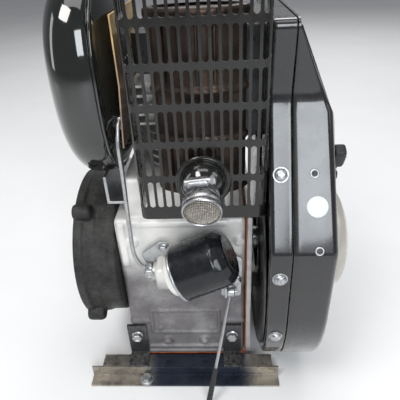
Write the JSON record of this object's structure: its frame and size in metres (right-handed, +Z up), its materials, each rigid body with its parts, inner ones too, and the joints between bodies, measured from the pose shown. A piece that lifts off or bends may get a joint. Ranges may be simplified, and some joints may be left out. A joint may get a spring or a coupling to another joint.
{
  "type": "small gasoline engine",
  "caption": "Air-cooled single-cylinder engine with blower housing, recoil starter, guarded muffler, spin-on oil filter, fuel tank and drive bell on two mounting rails.",
  "frame": {"origin": "centre of the footprint, on the surface that the rails stand on", "axes": "+Z up, the crankshaft lies along X with the drive end at -X and the flywheel at +X, the muffler faces -Y"},
  "size_m": [0.382, 0.39, 0.571],
  "materials": {
    "cast_aluminium": "sand-cast, satin",
    "black_iron": "rough cast, black paint",
    "black_paint": "semi-gloss black",
    "gloss_black": "high-gloss black",
    "grey_sheet": "metallic dark grey, gloss",
    "zinc": "bright zinc plate",
    "steel": "machined",
    "brown_steel": "heat-tinted",
    "cream_paint": "satin cream",
    "red_sealant": "cured sealant",
    "black_plastic": "fine texture"
  },
  "bodies": {
    "engine": {"crankcase": "cast_aluminium", "side_cover": "cast_aluminium", "side_gasket": "red_sealant", "pan_gasket": "red_sealant", "oil_pan": "black_paint", "front_rail": "black_paint", "rear_rail": "black_paint", "foot_front_left": "black_paint", "foot_bolt_front_left": "zinc", "foot_front_right": "black_paint", "foot_bolt_front_right": "zinc", "foot_rear_left": "black_paint", "foot_bolt_rear_left": "zinc", "foot_rear_right": "black_paint", "foot_bolt_rear_right": "zinc", "rail_bolt": "zinc", "drive_bell": "black_iron", "bearing_drive": "steel", "bearing_flywheel": "steel", "cylinder_barrel": "cast_aluminium", "cylinder_head": "cast_aluminium", "rocker_cover": "black_paint", "spark_plug": "steel", "piston": "cast_aluminium", "wrist_pin": "steel", "connecting_rod": "steel", "blower_housing": "grey_sheet", "cylinder_cowl": "grey_sheet", "cowl_screw_1": "zinc", "cowl_screw_2": "zinc", "cowl_screw_3": "zinc", "back_plate": "black_paint", "recoil_housing": "cream_paint", "muffler_body": "brown_steel", "exhaust_pipe": "brown_steel", "muffler_guard": "black_paint", "outlet_cup": "black_paint", "outlet_clamp": "zinc", "spark_arrestor": "steel", "oil_filter": "black_paint", "filter_adapter": "cast_aluminium", "oil_line": "zinc", "lever_pin": "steel", "fuel_tank": "gloss_black", "tank_bracket": "zinc", "heat_shield": "brown_steel", "carburettor": "cast_aluminium", "air_cleaner": "black_plastic"},
    "crankshaft": {"crankshaft": "steel", "crank_gear": "steel", "flywheel": "black_iron", "cooling_fan": "black_plastic", "starter_cup": "steel"},
    "camshaft": {"camshaft": "steel", "cam_gear": "steel"},
    "recoil_pulley": {"recoil_pulley": "black_plastic"},
    "starter_handle": {"starter_handle": "black_plastic"},
    "control_lever": {"control_lever": "zinc", "lever_grip": "black_plastic"},
    "fuel_cap": {"fuel_cap": "black_plastic"}
  },
  "joints": [
    {"name": "crankshaft_spin", "type": "hinge", "parent": "engine", "child": "crankshaft", "pos_m": [0, -0.005, 0.178], "axis": [1, 0, 0], "continuous": true},
    {"name": "camshaft_spin", "type": "hinge", "parent": "engine", "child": "camshaft", "pos_m": [0, 0.02, 0.1073], "axis": [1, 0, 0], "continuous": true},
    {"name": "handle_pull", "type": "slide", "parent": "engine", "child": "starter_handle", "axis": [0, -0.4695, 0.8829], "range_m": [0, 0.5], "stiffness_N_per_m": 8, "springref_m": -0.5},
    {"name": "pulley_spin", "type": "hinge", "parent": "engine", "child": "recoil_pulley", "pos_m": [0, -0.005, 0.178], "axis": [1, 0, 0], "range_deg": [0, 600]},
    {"name": "lever_swing", "type": "hinge", "parent": "engine", "child": "control_lever", "pos_m": [0.025, -0.104, 0.157], "axis": [1, 0, 0], "range_deg": [-40, 0]},
    {"name": "cap_turn", "type": "hinge", "parent": "engine", "child": "fuel_cap", "pos_m": [-0.143, 0.025, 0.56], "axis": [0, 0, 1], "range_deg": [0, 90]}
  ],
  "couplings": [
    {"joint": "camshaft_spin", "follows": "crankshaft_spin", "ratio": -0.5},
    {"joint": "pulley_spin", "follows": "handle_pull", "rad_per_m": 20}
  ]
}
